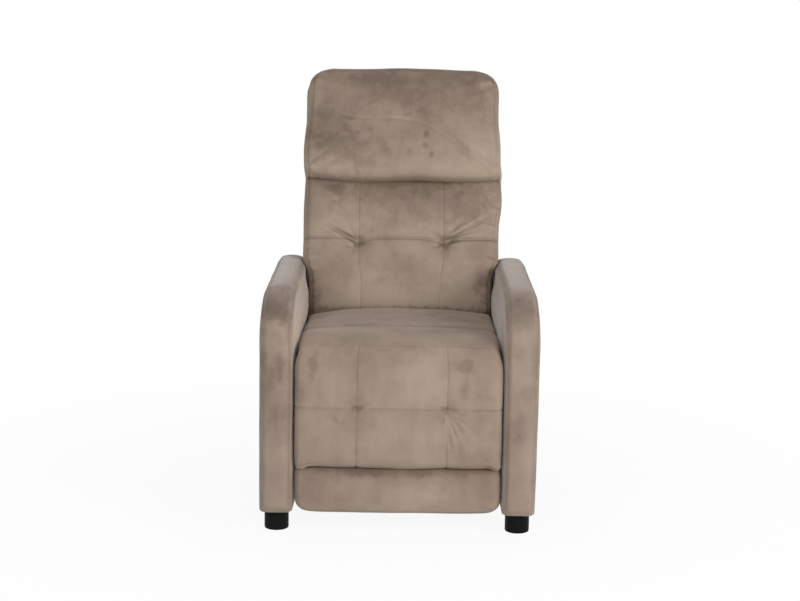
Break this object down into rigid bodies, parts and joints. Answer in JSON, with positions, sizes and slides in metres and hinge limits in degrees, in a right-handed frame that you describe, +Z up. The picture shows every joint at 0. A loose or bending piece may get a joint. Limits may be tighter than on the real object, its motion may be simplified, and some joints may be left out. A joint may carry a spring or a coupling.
{
  "type": "push-back recliner armchair",
  "caption": "Velvet push-back recliner with slim arms, a tufted back with a headrest, and a tufted front panel that swings up as a footrest as the seat glides forward.",
  "frame": {"origin": "on the floor under the middle of the chair, upright and closed", "axes": "+Z up, the sitter faces -Y, +X to the right as seen from the front"},
  "size_m": [0.62, 0.7794, 1.0083],
  "materials": {
    "velvet": "short-pile taupe velvet with brushed nap marks",
    "plywood": "plain birch plywood and softwood",
    "steel": "black coated pressed steel",
    "spring_steel": "bare drawn spring wire",
    "black_plastic": "satin black moulded plastic",
    "lining": "black non-woven lining",
    "webbing": "dark elastic webbing"
  },
  "bodies": {
    "base": {"arm_board_left": "plywood", "arm_board_right": "plywood", "arm_cover_left": "velvet", "arm_cover_right": "velvet", "foot_front_left": "black_plastic", "foot_front_right": "black_plastic", "foot_rear_left": "black_plastic", "foot_rear_right": "black_plastic", "front_stretcher": "plywood", "rear_stretcher": "plywood", "mechanism_plate_left": "steel", "mechanism_plate_right": "steel"},
    "rear_swing": {"rear_link_left": "steel", "rear_link_right": "steel", "rear_cross_tube": "steel"},
    "front_swing": {"front_link_left": "steel", "front_link_right": "steel", "front_cross_tube": "steel"},
    "seat": {"seat_angle_left": "steel", "seat_angle_right": "steel", "seat_rail_left": "plywood", "seat_rail_right": "plywood", "seat_rail_front": "plywood", "seat_rail_rear": "plywood", "seat_spring_1": "spring_steel", "seat_spring_2": "spring_steel", "seat_spring_3": "spring_steel", "seat_spring_4": "spring_steel", "dust_cover": "lining", "footrest_hinge_pin_left": "steel", "footrest_hinge_pin_right": "steel", "back_hinge_pin_left": "steel", "back_hinge_pin_right": "steel", "seat_cushion": "velvet", "chaise_roll": "velvet"},
    "footrest": {"footrest_board": "plywood", "footrest_bracket_left": "steel", "footrest_bracket_right": "steel", "footrest_pad": "velvet", "footrest_roll": "velvet"},
    "backrest": {"back_post_left": "plywood", "back_post_right": "plywood", "back_rail_bottom": "plywood", "back_rail_middle": "plywood", "back_rail_top": "plywood", "back_webbing_1": "webbing", "back_webbing_2": "webbing", "back_webbing_3": "webbing", "back_bracket_left": "steel", "back_bracket_right": "steel", "lumbar_cushion": "velvet", "headrest_cushion": "velvet", "back_cover": "velvet"},
    "back_link": {"back_link_left": "steel", "back_link_right": "steel"},
    "footrest_rod": {"footrest_rod_left": "steel", "footrest_rod_right": "steel"}
  },
  "joints": [
    {"name": "seat_swing", "type": "hinge", "parent": "base", "child": "rear_swing", "pos_m": [0, 0.037, 0.165], "axis": [1, 0, 0], "range_deg": [0, 48]},
    {"name": "seat_level", "type": "hinge", "parent": "rear_swing", "child": "seat", "pos_m": [0, 0.08174, 0.26549], "axis": [1, 0, 0], "range_deg": [-48, 0]},
    {"name": "front_link_turn", "type": "hinge", "parent": "base", "child": "front_swing", "pos_m": [0, -0.173, 0.165], "axis": [1, 0, 0], "range_deg": [0, 48]},
    {"name": "back_recline", "type": "hinge", "parent": "seat", "child": "backrest", "pos_m": [0, 0.142, 0.29999], "axis": [-1, 0, 0], "range_deg": [0, 32]},
    {"name": "footrest_raise", "type": "hinge", "parent": "seat", "child": "footrest", "pos_m": [0, -0.263, 0.29999], "axis": [-1, 0, 0], "range_deg": [0, 84], "deforming": ["chaise_roll"]},
    {"name": "back_link_turn", "type": "hinge", "parent": "base", "child": "back_link", "pos_m": [0, 0.104, 0.0956], "axis": [1, 0, 0], "range_deg": [0, 35]},
    {"name": "footrest_rod_turn", "type": "hinge", "parent": "backrest", "child": "footrest_rod", "pos_m": [0, 0.1657, 0.24049], "axis": [1, 0, 0], "range_deg": [0, 32]}
  ],
  "couplings": [
    {"joint": "seat_level", "follows": "seat_swing", "ratio": -1},
    {"joint": "front_link_turn", "follows": "seat_swing", "ratio": 1},
    {"joint": "back_recline", "follows": "seat_swing", "ratio": 0.6666},
    {"joint": "footrest_raise", "follows": "seat_swing", "ratio": 1.75},
    {"joint": "back_link_turn", "follows": "seat_swing", "ratio": 0.7286},
    {"joint": "footrest_rod_turn", "follows": "seat_swing", "ratio": 0.6666}
  ]
}
